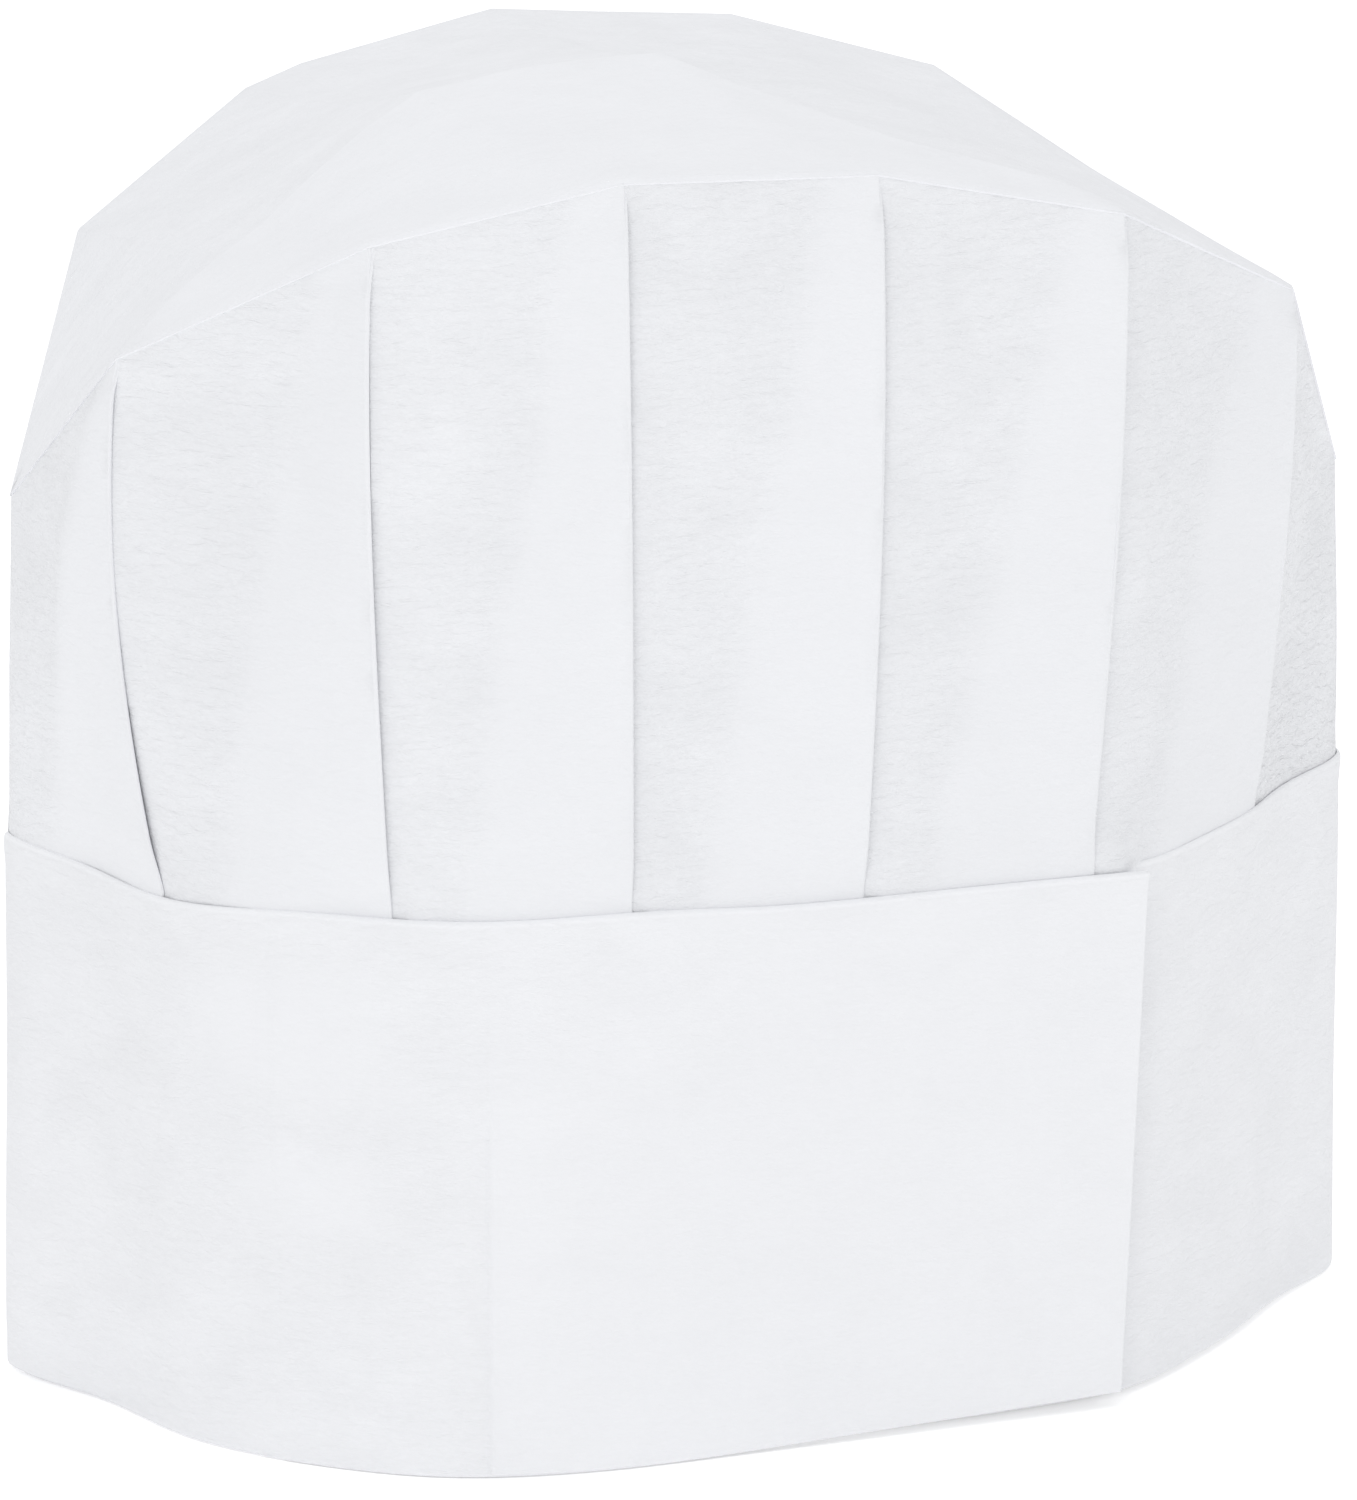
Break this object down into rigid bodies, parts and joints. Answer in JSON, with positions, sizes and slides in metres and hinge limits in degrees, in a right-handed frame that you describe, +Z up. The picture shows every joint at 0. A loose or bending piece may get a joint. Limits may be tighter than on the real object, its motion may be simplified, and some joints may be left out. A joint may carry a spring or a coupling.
{
  "type": "chef toque",
  "caption": "Disposable pleated toque with a deep folded headband that overlaps at the closure, a flared crown and an arched lens-shaped top panel.",
  "frame": {"origin": "centre of the head opening in the plane of the band's lower edge", "axes": "+Z up out of the crown; -Y towards the overlapping closure; +X across the hat towards the closure's free end"},
  "size_m": [0.2198, 0.1482, 0.1983],
  "materials": {
    "band_sheet": "matte fibrous non-woven, two plies",
    "crown_sheet": "matte fibrous non-woven, pleated",
    "top_sheet": "matte fibrous non-woven with a faint crease",
    "seam_strip": "matte, pressed",
    "closure_tape": "translucent adhesive film",
    "hot_melt": "satin, slightly yellow"
  },
  "bodies": {
    "hat": {"headband": "band_sheet", "tail_bend": "band_sheet", "crown_front": "crown_sheet", "crown_back": "crown_sheet", "side_seam_left": "seam_strip", "side_seam_right": "seam_strip", "band_glue_line": "hot_melt"},
    "overlap": {"band_tail": "band_sheet", "closure_tape": "closure_tape"},
    "tip": {"tail_tip": "band_sheet"},
    "top": {"crown_top": "top_sheet", "top_seam": "seam_strip"}
  },
  "joints": [
    {"name": "band_adjust", "type": "slide", "parent": "hat", "child": "overlap", "axis": [1, 0, 0], "range_m": [-0.012, 0.012], "deforming": ["tail_bend"]},
    {"name": "tail_peel", "type": "hinge", "parent": "overlap", "child": "tip", "pos_m": [0.015, -0.07185, 0], "axis": [0, 0, -1], "range_deg": [0, 70]},
    {"name": "crown_collapse", "type": "slide", "parent": "hat", "child": "top", "axis": [0, 0, -1], "range_m": [0, 0.036], "deforming": ["crown_front", "crown_back", "side_seam_left", "side_seam_right"]}
  ]
}
